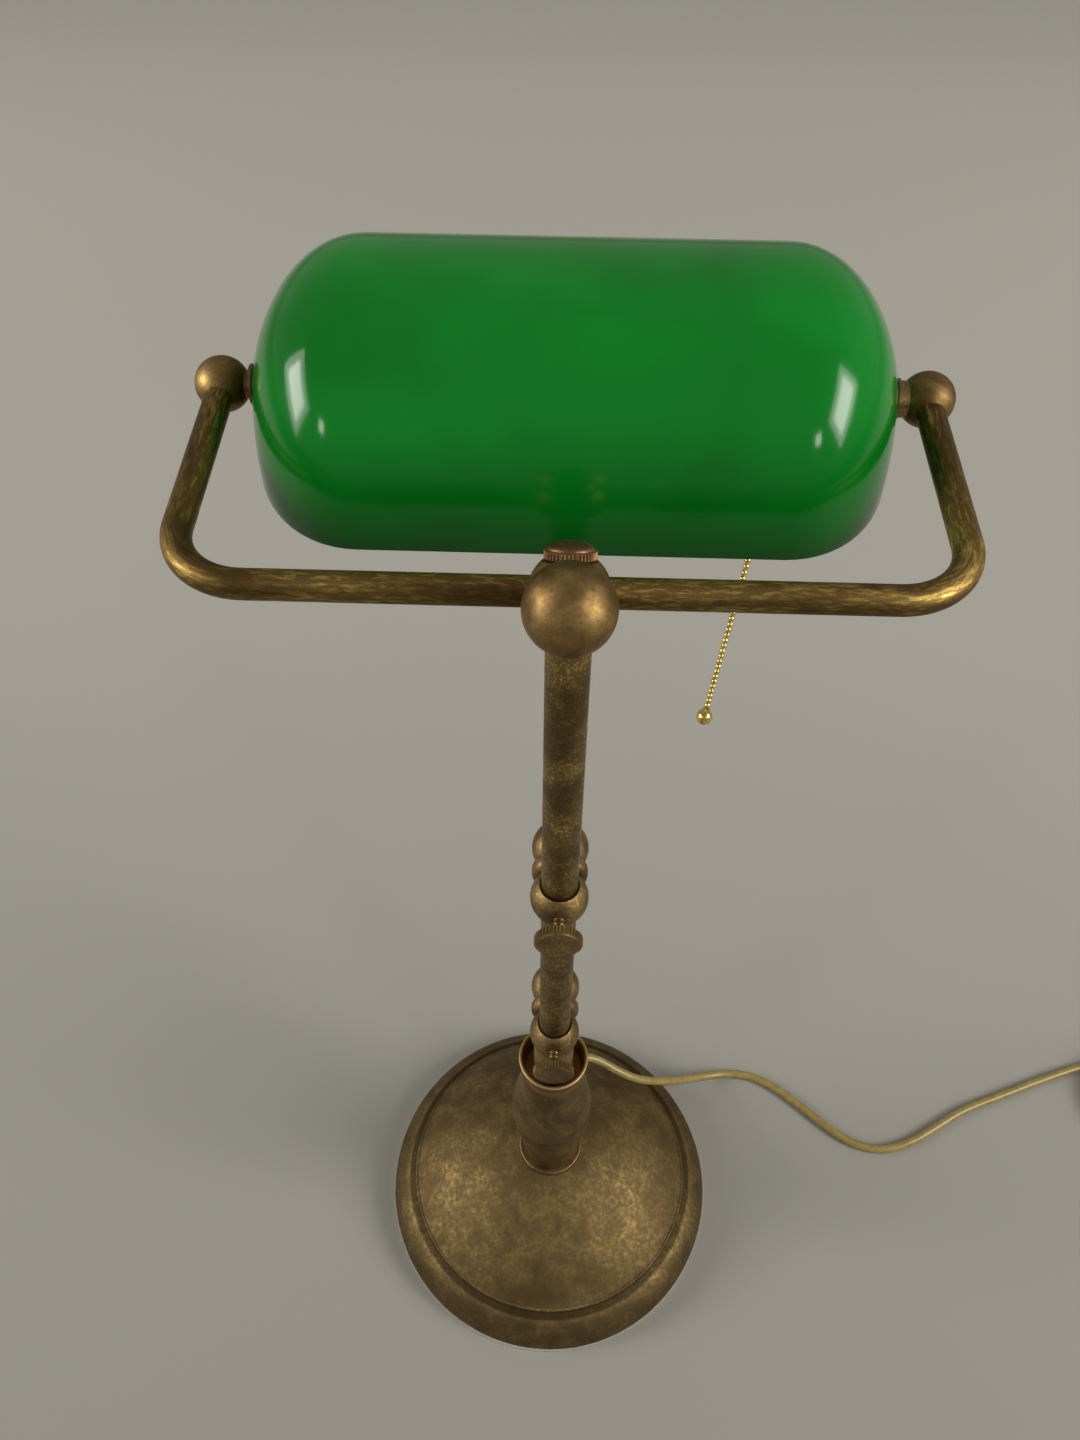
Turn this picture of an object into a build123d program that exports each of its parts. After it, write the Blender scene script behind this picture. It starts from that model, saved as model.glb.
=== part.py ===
from build123d import *
import math
import os

# A banker desk lamp: a weighted round base with a turned column, a sliding stem held in a pair of
# two-ball clamps, and a glass shade hung between the arms of a bent-tube yoke. Millimetres.
# The origin is the centre of the base on the desk, +Z up. The shade hangs out over +Y.

# ---- Base ----
base_radius = 90.0
base_height = 57.0            # desk to the foot of the column
pad_thickness = 2.0
pad_overhang = 0.6
shell_wall = 1.5
rim_foot = 2.5                # upright edge under the rounded rim
rim_height = 20.0
rim_width = 13.0
rim_bulge = 3.0
bead_radius = 1.3             # raised ring between the rim and the dome
dome_bulge = 5.5
ballast_gap = 0.6
ballast_drop = 3.0            # from the rim's top down to the top of the weight
thread_radius = 5.0           # M10 threaded tube and fittings
thread_bore = 3.4
nut_flats = 17.0
nut_height = 6.0
washer_radius = 12.0
washer_height = 1.5
recess_depth = 9.0            # under the weight, for the nut and the washer
recess_gap = 0.8
hole_gap = 0.3                # round the threaded tube in the weight and the shell

# ---- Column ----
column_height = 113.0
foot_radius = 16.4
foot_height = 3.2
neck_radius = 14.7
bulge_radius = 20.4
throat_radius = 15.0
cup_radius = 16.6
cup_wall = 1.5
cup_depth = 12.0
cup_taper = 1.5               # narrowing of the cup from its lip to its floor
boss_height = 12.0            # solid, threaded foot inside the column
collar_seat = 30.0            # from the cup's rim down to the collar's seat

# ---- Collar, clamps and guide rod ----
stem_radius = 7.0
stem_bore = stem_radius - 1.5
mouth_radius = stem_radius + 0.75       # wider mouth where the stem enters a ball
mouth_depth = 5.0
collar_bore = stem_radius + 1.3
collar_radius = collar_bore + 1.0
collar_rise = 20.0            # above the cup's rim
running_gap = 0.07            # radial, between a rod and its bearing
face_gap = 0.1                # between faces that turn on each other
clamp_ball = stem_radius + 4.3
clamp_ring = clamp_ball - 0.3
clamp_ring_width = 8.0
rod_spacing = 2 * clamp_ball + 0.2
clamp_gap = 115.5             # between the two clamps
ring_rounding = 0.42          # of a ring's edges, as a share of its width
guide_radius = 6.0
guide_overrun = 2.5
spigot_length = 14.0
spigot_slack = 0.05           # radial, of the clamp's spigot in the collar
seat_margin = 0.4             # of the lower clamp's ball above where it would meet the collar's edge
seat_cut = 3.0                # flat cut round the seat, out past the collar

# ---- Stem and head ----
stem_travel = 80.0
stop_ring_radius = stem_radius + 1.0
stop_ring_height = 4.0
stem_tail = 2.0               # below the stop ring
head_height = 151.9           # from the upper clamp to the head ball, at rest
head_ball = 14.0
back_ball = 13.0
head_link = 24.5              # between the centres of the head's two balls
head_drop_deg = 31.5
head_bead = 11.2
head_bead_width = 5.0
socket_depth = 12.0           # of the stem in the head ball
wire_bore = 3.0

# ---- Thumbscrews ----
screw_radius = 2.5
screw_gap = 0.1
screw_tip_gap = 0.3
thumb_radius = 9.2
thumb_width = 4.2
thumb_face = stem_radius + 15.0         # from the stem's axis to the flat face
thumb_chamfer = 0.5
cap_radius = 8.2
cap_width = 3.1
cap_chamfer = 0.4
cap_crown = 2.6
cap_seat = 9.6                # from the back ball's centre to the flat under the cap screw
cap_seat_gap = 0.6            # round the cap screw, in the cut for its seat
cap_gap = 0.4

# ---- Yoke ----
shade_length = 226.0
yoke_radius = 5.0
yoke_bore = 3.8
yoke_span = shade_length + 25.0         # between the arms' axes
yoke_bend = 25.0
arm_length = 98.5             # from the bar's axis to the shade's axis
arm_rise_deg = 3.5
side_ball = 9.9
fitting_depth = 6.0           # how near to a side ball's centre a tube ends
neck_collar_radius = 6.4
flange_radius = 7.25
flange_width = 1.2
washer_width = 0.8            # rubber, at the glass

# ---- Shade ----
shade_width = 130.0
shade_rise = 49.0             # above its axis
shade_drop = 20.0             # below its axis
shade_wall = 3.0
end_length = 41.0             # of each rounded, closed end
end_narrowing = 0.92          # share of the width lost at the very end
end_lowering = 0.76           # share of the height lost there
end_sections = 8
shade_hole_gap = 0.4
seat_radius = 8.6             # flats on the glass under the flange and the nut
seat_depth = 8.0

# ---- Lampholder, bulb and pull chain ----
shade_nut_radius = 8.0
shade_nut_width = 3.5
left_thread_end = 4.0         # of the left nipple past its nut
holder_gap = 1.6              # between the right nut and the lampholder
holder_cap_length = 20.0
holder_cap_mouth = 7.5
holder_radius = 18.5
holder_wall = 0.9
holder_length = 30.0
core_width = 4.5
screw_shell_radius = 13.9
screw_shell_wall = 0.7
bulb_cap_gap = 0.1
bulb_cap_length = 24.0
bulb_radius = 14.5
bulb_length = 92.0
bulb_wall = 1.0
holder_lip = 1.2              # thickness and width of the shell's rolled edge
holder_lip_width = 3.0
holder_shoulder = 15.0        # length of the cap's domed part
contact_radius = 2.0
contact_rise = 2.0
outlet_setback = 27.55        # of the chain's outlet from the start of the lampholder
outlet_radius = 3.2
outlet_bore = 1.9
outlet_length = 6.0
link_radius = 1.5
link_rise = 4.2               # of the pull link inside the lampholder
link_show = 1.5
chain_gap = 0.4               # between the link and the chain
chain_length = 144.0
chain_pitch = 3.3
chain_bead = 1.3
chain_core = 0.5
chain_lean_deg = 3.8
chain_ball_radius = 3.9

# ---- Mains cord ----
cord_radius = 2.4
bush_height = 22.0            # of the bush above the column's foot
bush_drop_deg = 20.0
bush_radius = 4.2
bush_flange_radius = 5.6
bush_flange_width = 2.0
bush_reach = 32.0             # of its mouth from the column's axis
bush_tip_radius = 3.0
cord_grip = 6.0               # of the cord in the bush and in the plug's sleeve
coil_centre = (372.0, 56.0)
coil_radius = 28.0            # middle of the turns
coil_half_width = 7.3
coil_half_height = 6.6
tie_thickness = 0.8
tie_angle = 14.0              # degrees of the coil that the tie covers
tie_at = 215.0
plug_width = 35.0
plug_length = 32.0
plug_height = 13.7
plug_back = 14.0              # width at the cord's end
sleeve_length = 24.0
sleeve_radius = 5.2
sleeve_tip = 3.3
pin_radius = 2.0
pin_length = 19.0
pin_spacing = 18.8

cord_points = [
    (5.0, 45.1, 61.8), (14.3, 51.9, 57.0), (25.8, 53.5, 51.5), (36.8, 50.0, 45.0), (48.5, 48.0, 37.5),
    (60.5, 50.0, 29.6), (72.5, 54.5, 20.8), (84.5, 60.0, 12.2), (97.0, 65.0, 5.8), (110.5, 68.6, 2.8),
    (124.5, 67.5, 2.4), (138.0, 61.0, 2.4), (152.0, 50.5, 2.4), (166.5, 37.5, 2.4), (181.0, 27.0, 2.4),
    (198.0, 22.8, 2.4), (216.0, 27.6, 2.4), (234.0, 38.0, 2.4), (252.5, 49.4, 2.4), (277.0, 58.8, 2.4),
    (304.0, 69.6, 2.4), (330.0, 79.0, 2.4), (350.0, 84.8, 2.6), (371.0, 86.4, 3.2),
]
tail_points = [(407.0, 50.0, 3.2), (407.4, 38.0, 4.0), (405.4, 26.0, 5.6)]

# ---- Heights that follow from these ----
column_top = base_height + column_height
collar_top = column_top + collar_rise
seat_bottom = collar_top + face_gap
lower_clamp_z = seat_bottom + math.sqrt(clamp_ball**2 - collar_radius**2) + seat_margin
upper_clamp_z = lower_clamp_z + clamp_gap
spigot_bottom = collar_top - spigot_length
head_z = upper_clamp_z + head_height
stop_ring_top = spigot_bottom - stem_travel - face_gap
stem_bottom = stop_ring_top - stop_ring_height - stem_tail
head_drop = math.radians(head_drop_deg)
bar_y = head_link * math.cos(head_drop)
bar_z = head_z - head_link * math.sin(head_drop)
arm_rise = math.radians(arm_rise_deg)
pivot_y = bar_y + arm_length * math.cos(arm_rise)
pivot_z = bar_z + arm_length * math.sin(arm_rise)
rim_top = pad_thickness + rim_height
far = 500.0


def rod(radius, start, end):
    start, end = Vector(*start), Vector(*end)
    return Solid.make_cylinder(radius, (end - start).length, Plane(origin=start, z_dir=end - start))


def tube(outer, inner, start, end):
    return rod(outer, start, end) - rod(inner, start, end)


def ball(radius, centre):
    return Pos(*centre) * Sphere(radius)


def group(*pieces):
    # Separate solids that share one node.
    return Compound([solid for piece in pieces for solid in piece.solids()])


def turned(section):
    # A section drawn as radius and height, turned round the Z axis.
    return revolve(Plane.XZ * section, Axis.Z)


def bulged(start, end, height):
    # An arc from start to end that swells outwards by height.
    a, b = Vector(*start), Vector(*end)
    side = Vector(b.Y - a.Y, a.X - b.X).normalized()
    if side.X < 0:
        side = side * -1
    middle = (a + b) * 0.5 + side * height
    return ThreePointArc(a, middle, b)


def below(height):
    return Pos(0, 0, height - far) * Box(2 * far, 2 * far, 2 * far)


# ---- Base pieces ----
def base_section():
    # The whole cross-section of the base's outside, both sides of the axis.
    step = base_radius - rim_width
    dome = step - bead_radius
    edge = pad_thickness + rim_foot
    low = pad_thickness - rim_height
    outline = [
        Line((0, low), (base_radius, low)),
        Line((base_radius, low), (base_radius, edge)),
        bulged((base_radius, edge), (step, rim_top), rim_bulge),
        Line((step, rim_top), (dome, rim_top + bead_radius)),
        bulged((dome, rim_top + bead_radius), (foot_radius, base_height), dome_bulge),
        Line((foot_radius, base_height), (0, base_height)),
        Line((0, base_height), (0, low)),
    ]
    half = make_face(outline)
    return half + mirror(half, Plane.YZ)


def base_inside(inset):
    half_plane = Pos(far / 2, 0) * Rectangle(far, 2 * far)
    return turned(offset(base_section(), -inset, kind=Kind.INTERSECTION) & half_plane)


def base_parts():
    hole = thread_radius + hole_gap
    step = base_radius - rim_width
    recess_top = pad_thickness + recess_depth
    half_plane = Pos(far / 2, 0) * Rectangle(far, 2 * far)
    bead = Pos(0, 0, rim_top + bead_radius * 0.4) * Torus(step - bead_radius, bead_radius)
    shell = turned(base_section() & half_plane) + bead - base_inside(shell_wall)
    shell = shell - rod(hole, (0, 0, 0), (0, 0, far)) - below(pad_thickness)
    weight = base_inside(shell_wall + ballast_gap) & below(rim_top - ballast_drop)
    weight = weight - below(pad_thickness) - rod(hole, (0, 0, 0), (0, 0, far))
    weight = weight - rod(washer_radius + recess_gap, (0, 0, 0), (0, 0, recess_top))
    washer_low = recess_top - washer_height
    nut_low = washer_low - nut_height
    nut = extrude(Pos(0, 0, nut_low) * RegularPolygon(nut_flats / 2, 6, major_radius=False), nut_height)
    return {
        "desk_pad": rod(base_radius + pad_overhang, (0, 0, 0), (0, 0, pad_thickness)),
        "base_shell": shell,
        "ballast_weight": weight,
        "base_washer": tube(washer_radius, thread_radius, (0, 0, washer_low), (0, 0, recess_top)),
        "base_nut": nut - rod(thread_radius, (0, 0, 0), (0, 0, far)),
        "centre_tube": tube(thread_radius, thread_bore, (0, 0, nut_low),
                            (0, 0, base_height + boss_height - 1)),
    }


def bush_point(distance):
    drop = math.radians(bush_drop_deg)
    return (0, distance * math.cos(drop), base_height + bush_height - distance * math.sin(drop))


def column_part():
    foot = base_height
    cup_floor = column_top - cup_depth
    lip = column_top - cup_wall / 2
    lip_inside = cup_radius - cup_wall
    floor_radius = lip_inside - cup_taper
    shape = Spline(
        (neck_radius + 0.3, foot + foot_height),
        (neck_radius, foot + 0.08 * column_height),
        (bulge_radius, foot + 0.48 * column_height),
        (throat_radius, foot + 0.86 * column_height),
        (cup_radius, lip),
        tangents=((-0.2, 1), (0.25, 1)),
    )
    outline = [
        Line((0, foot), (foot_radius, foot)),
        bulged((foot_radius, foot), (foot_radius, foot + foot_height), foot_height * 0.3),
        Line((foot_radius, foot + foot_height), (neck_radius + 0.3, foot + foot_height)),
        shape,
        ThreePointArc((cup_radius, lip), (cup_radius - cup_wall / 2, column_top), (lip_inside, lip)),
        Line((lip_inside, lip), (floor_radius, cup_floor)),
        Line((floor_radius, cup_floor), (0, cup_floor)),
        Line((0, cup_floor), (0, foot)),
    ]
    body = turned(make_face(outline))
    body = body - rod(thread_radius, (0, 0, foot), (0, 0, foot + boss_height))
    body = body - rod(collar_bore + 0.3, (0, 0, foot + boss_height), (0, 0, column_top))
    body = body - rod(collar_radius, (0, 0, column_top - collar_seat), (0, 0, column_top))
    body = body - rod(bush_radius, bush_point(0), bush_point(bush_reach))
    return body - rod(bush_flange_radius + hole_gap, bush_point(foot_radius), bush_point(bush_reach))


def bush_part():
    inner = collar_bore + 1.5
    face = foot_radius + bush_flange_width
    body = rod(bush_radius, bush_point(inner), bush_point(face))
    flange = rod(bush_flange_radius, bush_point(foot_radius), bush_point(face))
    start, end = Vector(*bush_point(face)), Vector(*bush_point(bush_reach))
    line = Plane(origin=start, z_dir=end - start)
    taper = Solid.make_cone(bush_radius, bush_tip_radius, bush_reach - face, line)
    return body + flange + taper - rod(cord_radius, bush_point(inner), bush_point(bush_reach))


# ---- Clamps ----
def clamp_part(height, seated):
    # A ball, a ring and a second ball in line, bored upright for the stem and for the guide rod.
    low, high = (0, 0, height - 2 * clamp_ball), (0, 0, height + 2 * clamp_ball)
    ring = Cylinder(clamp_ring, clamp_ring_width)
    ring = fillet(ring.edges().filter_by(GeomType.CIRCLE), clamp_ring_width * ring_rounding)
    body = ball(clamp_ball, (0, 0, height)) + ball(clamp_ball, (0, rod_spacing, height))
    body = body + Pos(0, rod_spacing / 2, height) * Rot(90, 0, 0) * ring
    if seated:
        body = body - rod(collar_radius + seat_cut, (0, 0, spigot_bottom), (0, 0, seat_bottom))
        body = body + rod(collar_radius, (0, 0, seat_bottom), (0, 0, height))
        body = body + rod(collar_bore - spigot_slack, (0, 0, spigot_bottom), (0, 0, height))
        low = (0, 0, spigot_bottom)
    body = body - rod(stem_radius + running_gap, low, high)
    body = body - rod(mouth_radius, (0, 0, height + clamp_ball - mouth_depth), high)
    body = body - rod(guide_radius, (0, rod_spacing, low[2]), (0, rod_spacing, high[2]))
    return body - rod(screw_radius + screw_gap, (0, 0, height), (0, -2 * clamp_ball, height))


def thumbscrew_part(height):
    inner = -(stem_radius + screw_tip_gap)
    back = -(thumb_face - thumb_width)
    head = Cylinder(thumb_radius, thumb_width)
    head = chamfer(head.edges().filter_by(GeomType.CIRCLE), thumb_chamfer)
    head = Pos(0, -(thumb_face - thumb_width / 2), height) * Rot(90, 0, 0) * head
    return head + rod(screw_radius, (0, inner, height), (0, back - 1, height))


# ---- Stem and head ----
def link_axis():
    return Vector(0, math.cos(head_drop), -math.sin(head_drop))


def cap_axis():
    return Vector(0, math.sin(head_drop), math.cos(head_drop))


def stem_parts():
    stem_top = head_z - head_ball + socket_depth
    stem = tube(stem_radius, stem_bore, (0, 0, stem_bottom), (0, 0, stem_top))
    ring_foot = stop_ring_top - stop_ring_height
    ring = tube(stop_ring_radius, stem_radius, (0, 0, ring_foot), (0, 0, stop_ring_top))
    centre, back = Vector(0, 0, head_z), Vector(0, bar_y, bar_z)
    bead = Cylinder(head_bead, head_bead_width)
    bead = fillet(bead.edges().filter_by(GeomType.CIRCLE), head_bead_width * ring_rounding)
    middle = centre + link_axis() * (head_ball * 0.5 + (head_link - back_ball * 0.5)) * 0.5
    head = ball(head_ball, centre) + ball(back_ball, back)
    head = head + Plane(origin=middle, z_dir=link_axis()) * bead
    head = head - rod(stem_radius, (0, 0, head_z - 2 * head_ball), (0, 0, stem_top))
    outside = 2 * back_ball
    head = head - rod(yoke_radius + running_gap, (-outside, bar_y, bar_z), (outside, bar_y, bar_z))
    seat = back + cap_axis() * cap_seat
    head = head - rod(cap_radius + cap_seat_gap, seat, seat + cap_axis() * back_ball)
    head = head - rod(screw_radius + screw_gap, back, seat + cap_axis())
    return {
        "stem_tube": stem,
        "stem_stop_ring": ring,
        "stem_head": head - rod(wire_bore, (0, 0, stem_top - 2), back),
    }


def head_screw_part():
    back = Vector(0, bar_y, bar_z)
    axis = cap_axis()
    low = cap_seat + cap_gap
    disc = chamfer(Cylinder(cap_radius, cap_width).edges().filter_by(GeomType.CIRCLE), cap_chamfer)
    disc = Plane(origin=back + axis * (low + cap_width / 2), z_dir=axis) * disc
    crown_base = cap_radius - cap_chamfer
    dome = (crown_base**2 + cap_crown**2) / (2 * cap_crown)
    crown = Pos(0, 0, cap_crown - dome) * Sphere(dome)
    crown = crown & Pos(0, 0, cap_crown / 2) * Cylinder(crown_base, cap_crown)
    crown = Plane(origin=back + axis * (low + cap_width), z_dir=axis) * crown
    tip = yoke_radius + screw_tip_gap
    return disc + crown + rod(screw_radius, back + axis * tip, back + axis * (low + 1))


# ---- Yoke and what is on it ----
def yoke_point(along, out):
    # A point of the yoke's plane: across the lamp, and out along an arm.
    return (along, bar_y + out * math.cos(arm_rise), bar_z + out * math.sin(arm_rise))


def yoke_part():
    half = yoke_span / 2
    arm_end = arm_length - fitting_depth
    stations = ((-half, arm_end), (-half, 0), (half, 0), (half, arm_end))
    corners = [yoke_point(across, out) for across, out in stations]
    path = FilletPolyline(*corners, radius=yoke_bend)
    along = Vector(*corners[1]) - Vector(*corners[0])
    face = Plane(origin=corners[0], z_dir=along) * (Circle(yoke_radius) - Circle(yoke_bore))
    wire_hole = rod(wire_bore - 0.5, (0, 0, head_z), (0, bar_y, bar_z))
    return sweep(face, path=path) - wire_hole


def side_ball_part(side):
    centre = (side * yoke_span / 2, pivot_y, pivot_z)
    inward = (side * (yoke_span / 2 - 2 * side_ball), pivot_y, pivot_z)
    to_arm = yoke_point(side * yoke_span / 2, arm_length - 2 * side_ball)
    arm_start = yoke_point(side * yoke_span / 2, arm_length - fitting_depth)
    thread_start = (side * (yoke_span / 2 - fitting_depth), pivot_y, pivot_z)
    body = ball(side_ball, centre) - rod(yoke_radius, arm_start, to_arm)
    body = body - rod(thread_radius, thread_start, inward) - rod(thread_bore, centre, inward)
    return body - rod(yoke_bore, centre, to_arm) - ball(thread_bore, centre)


def on_axis(side, near, far_end):
    # The two ends of a length on the shade's axis, as distances from the middle.
    return (side * near, pivot_y, pivot_z), (side * far_end, pivot_y, pivot_z)


def side_fittings():
    outside = shade_length / 2
    flange_in = outside + washer_width + face_gap / 2
    flange_out = flange_in + flange_width
    inside = outside - shade_wall
    nut_out = inside - washer_width - face_gap / 2
    nut_in = nut_out - shade_nut_width
    thread_out = yoke_span / 2 - fitting_depth
    holder_start = nut_in - holder_gap
    thread_in = {-1: nut_in - left_thread_end, 1: holder_start - holder_cap_length * 0.5}
    washer_bore = thread_radius + shade_hole_gap
    flanges, collars, nuts, washers = [], [], [], []
    for side in (-1, 1):
        centre = (side * yoke_span / 2, pivot_y, pivot_z)
        flanges.append(tube(flange_radius, thread_radius, *on_axis(side, flange_in, flange_out)))
        collars.append(tube(neck_collar_radius, thread_radius, *on_axis(side, flange_out, yoke_span / 2))
                       - ball(side_ball, centre))
        nuts.append(tube(shade_nut_radius, thread_radius, *on_axis(side, nut_in, nut_out)))
        washer_ends = on_axis(side, outside, outside + washer_width)
        washers.append(tube(flange_radius - 0.2, washer_bore, *washer_ends))
        washers.append(tube(shade_nut_radius, washer_bore, *on_axis(side, inside - washer_width, inside)))
    return {
        "side_flanges": group(*flanges),
        "neck_collars": group(*collars),
        "shade_nuts": group(*nuts),
        "shade_washers": group(*washers),
        "left_nipple": tube(thread_radius, thread_bore, *on_axis(-1, thread_in[-1], thread_out)),
        "right_nipple": tube(thread_radius, thread_bore, *on_axis(1, thread_in[1], thread_out)),
    }, holder_start


# ---- Shade ----
def shade_block(inset):
    # The outside of the glass shrunk by inset: an ellipse drawn along the shade, drawn in at both ends.
    half = shade_width / 2 - inset
    tall = shade_rise + shade_drop - inset
    straight = shade_length / 2 - end_length
    sections = []
    for step in range(end_sections + 1):
        turn = math.pi / 2 * step / end_sections
        lost = 1 - math.cos(turn)
        along = straight + (end_length - inset) * math.sin(turn)
        plane = Plane(origin=(along, 0, -shade_drop), x_dir=(0, 1, 0), z_dir=(1, 0, 0))
        sections.append(plane * Ellipse(half * (1 - end_narrowing * lost), tall * (1 - end_lowering * lost)))
    end = loft(sections)
    return extrude(sections[0], -2 * straight) + end + mirror(end, Plane.YZ)


def shade_part():
    floor = Pos(0, 0, -shade_drop - far) * Box(2 * far, 2 * far, 2 * far)
    end, inside = shade_length / 2, shade_length / 2 - shade_wall
    glass = shade_block(0) - floor
    for side in (-1, 1):
        glass = glass + rod(seat_radius, (side * (inside - seat_depth), 0, 0), (side * end, 0, 0))
    glass = glass - shade_block(shade_wall) - rod(seat_radius, (-inside, 0, 0), (inside, 0, 0))
    glass = glass - rod(thread_radius + shade_hole_gap, (-far, 0, 0), (far, 0, 0))
    return Pos(0, pivot_y, pivot_z) * glass


# ---- Lampholder, bulb and pull ----
def along_axis(section):
    # A section drawn as radius and distance along the shade's axis, turned round that axis.
    return Pos(0, pivot_y, pivot_z) * Rot(0, 90, 0) * revolve(Plane.XZ * section, Axis.Z)


def holder_parts(start):
    cap_end = start - holder_cap_length
    core_in = cap_end - core_width
    mouth = cap_end - holder_length
    shell_in = holder_radius - holder_wall
    screw_in = screw_shell_radius - screw_shell_wall
    shoulder = start - holder_shoulder
    neck = start - holder_shoulder / 3
    curve = Spline((holder_cap_mouth, start), (holder_radius * 0.72, neck), (holder_radius, shoulder),
                   tangents=((1, -0.25), (0, -1)))
    cap = along_axis(make_face([
        Line((thread_radius, start), (holder_cap_mouth, start)),
        curve,
        Line((holder_radius, shoulder), (holder_radius, cap_end)),
        Line((holder_radius, cap_end), (shell_in, cap_end)),
        Line((shell_in, cap_end), (shell_in, shoulder)),
        Line((shell_in, shoulder), (thread_radius, neck)),
        Line((thread_radius, neck), (thread_radius, start)),
    ]))
    shell = tube(holder_radius, shell_in, *on_axis(1, mouth, cap_end))
    lip = tube(holder_radius + holder_lip, holder_radius, *on_axis(1, mouth, mouth + holder_lip_width))
    outlet_x = start - outlet_setback
    outlet_top = pivot_z - holder_radius + 1.5
    outlet_low = pivot_z - holder_radius - outlet_length
    way = rod(outlet_radius, (outlet_x, pivot_y, outlet_top), (outlet_x, pivot_y, outlet_low))
    bore = rod(outlet_bore, (outlet_x, pivot_y, pivot_z - shell_in + 2), (outlet_x, pivot_y, outlet_low))
    inside = rod(shell_in, *on_axis(1, mouth, cap_end))
    shell = shell + lip - way
    outlet = way - inside - bore
    core = tube(shell_in, contact_radius, *on_axis(1, core_in, cap_end))
    screw = tube(screw_shell_radius, screw_in, *on_axis(1, mouth + 2, core_in))
    contact = rod(contact_radius, *on_axis(1, core_in - contact_rise, cap_end))
    return {
        "lampholder_cap": cap,
        "lampholder_shell": shell,
        "lampholder_core": core,
        "screw_shell": screw,
        "contact_stud": contact,
        "switch_outlet": outlet,
    }, core_in, screw_in, (outlet_x, outlet_low)


def bulb_parts(core_in, screw_in):
    radius = screw_in - bulb_cap_gap
    tip = core_in - contact_rise
    cap_end = tip - bulb_cap_length
    glass_end = cap_end - bulb_length
    cap = rod(radius, *on_axis(1, cap_end, tip - 4)) + rod(radius * 0.45, *on_axis(1, tip - 4.5, tip))
    dome_centre = (glass_end + bulb_radius, pivot_y, pivot_z)
    inside = bulb_radius - bulb_wall
    glass = rod(bulb_radius, *on_axis(1, dome_centre[0], cap_end)) + ball(bulb_radius, dome_centre)
    glass = glass - rod(inside, *on_axis(1, dome_centre[0], cap_end)) - ball(inside, dome_centre)
    return {"bulb_cap": cap, "bulb_glass": glass}


def pull_parts(outlet):
    outlet_x, outlet_low = outlet
    link_top = pivot_z - holder_radius + link_rise
    link_low = outlet_low - link_show
    lean = math.radians(chain_lean_deg)
    down = Vector(-math.sin(lean), 0, -math.cos(lean))
    top = Vector(outlet_x, pivot_y, link_low - chain_gap)
    chain = rod(chain_core, top, top + down * chain_length)
    count = int((chain_length - chain_bead) / chain_pitch) + 1
    chain = chain + [ball(chain_bead, top + down * (chain_bead + chain_pitch * i)) for i in range(count)]
    centre = top + down * (chain_length + chain_ball_radius)
    neck = rod(chain_bead + 0.4, centre - down * (chain_ball_radius + 1.6), centre)
    end = ball(chain_ball_radius, centre) + neck
    return {
        "pull_link": rod(link_radius, (outlet_x, pivot_y, link_low), (outlet_x, pivot_y, link_top)),
        "pull_chain": chain - end,
        "chain_ball": end,
    }


# ---- Mains cord ----
def cord_tube(points, name):
    spots = [Vector(*p) for p in points]
    radii = []
    for before, here, after in zip(spots, spots[1:], spots[2:]):
        turn = math.radians((here - before).get_angle(after - here))
        shorter = min((here - before).length, (after - here).length)
        radii.append(0.45 * shorter / math.tan(turn / 2))
    runs = [(b - a).length for a, b in zip(spots, spots[1:])]
    path = FilletPolyline(*spots, radius=radii)
    face = Plane(origin=spots[0], z_dir=spots[1] - spots[0]) * Circle(cord_radius)
    solid = sweep(face, path=path)
    print(name, "radii", [round(r) for r in radii])
    print(name, "runs", [round(r) for r in runs], "length", round(path.length, 1))
    swept = math.pi * cord_radius**2 * path.length
    print(name, "volume over section x length", round(solid.volume / swept, 4))
    return solid


def cord_parts():
    coil_z = coil_half_height + tie_thickness
    coil_at = Pos(coil_centre[0], coil_centre[1], coil_z)
    section = Pos(coil_radius, 0) * Ellipse(coil_half_width, coil_half_height)
    sleeve = Pos(coil_radius, 0) * Ellipse(coil_half_width + tie_thickness, coil_half_height + tie_thickness)
    band = Rot(0, 0, tie_at) * revolve(Plane.XZ * (sleeve - section), Axis.Z, revolution_arc=tie_angle)
    start = bush_point(bush_reach - cord_grip)
    first = bush_point(bush_reach + cord_grip)
    plug_z = plug_height / 2
    last = Vector(*tail_points[-1])
    sleeve_end = Vector(last.X - 2.2, last.Y - 12, plug_z)
    plug_way = Vector(-0.12, -1, 0).normalized()
    sleeve_start = sleeve_end + plug_way * sleeve_length
    cone = Solid.make_cone(sleeve_tip, sleeve_radius, sleeve_length, Plane(origin=sleeve_end, z_dir=plug_way))
    flat = Plane(origin=sleeve_start, x_dir=(-plug_way.Y, plug_way.X, 0), z_dir=(0, 0, 1))
    half, back, depth = plug_width / 2, plug_back / 2, plug_length
    widest = -depth * 0.45
    corners = [(-back, 0), (back, 0), (half, widest), (half, -depth), (-half, -depth), (-half, widest)]
    body = extrude(Polygon(*corners, align=None), plug_height / 2, both=True)
    body = fillet(body.edges().filter_by(Axis.Z), 3.0)
    body = chamfer(body.edges().group_by(Axis.Z)[-1] + body.edges().group_by(Axis.Z)[0], 1.5)
    pins = [flat * rod(pin_radius, (x, -depth, 0), (x, -depth - pin_length, 0))
            for x in (-pin_spacing / 2, pin_spacing / 2)]
    return {
        "mains_cord": cord_tube([start, first] + cord_points, "mains_cord"),
        "cord_coil": coil_at * revolve(Plane.XZ * section, Axis.Z),
        "coil_tie": coil_at * band,
        "plug_tail": cord_tube(tail_points + [tuple(sleeve_end)], "plug_tail"),
        "plug_sleeve": cone,
        "mains_plug": flat * body,
        "plug_pins": group(*pins),
    }


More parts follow.
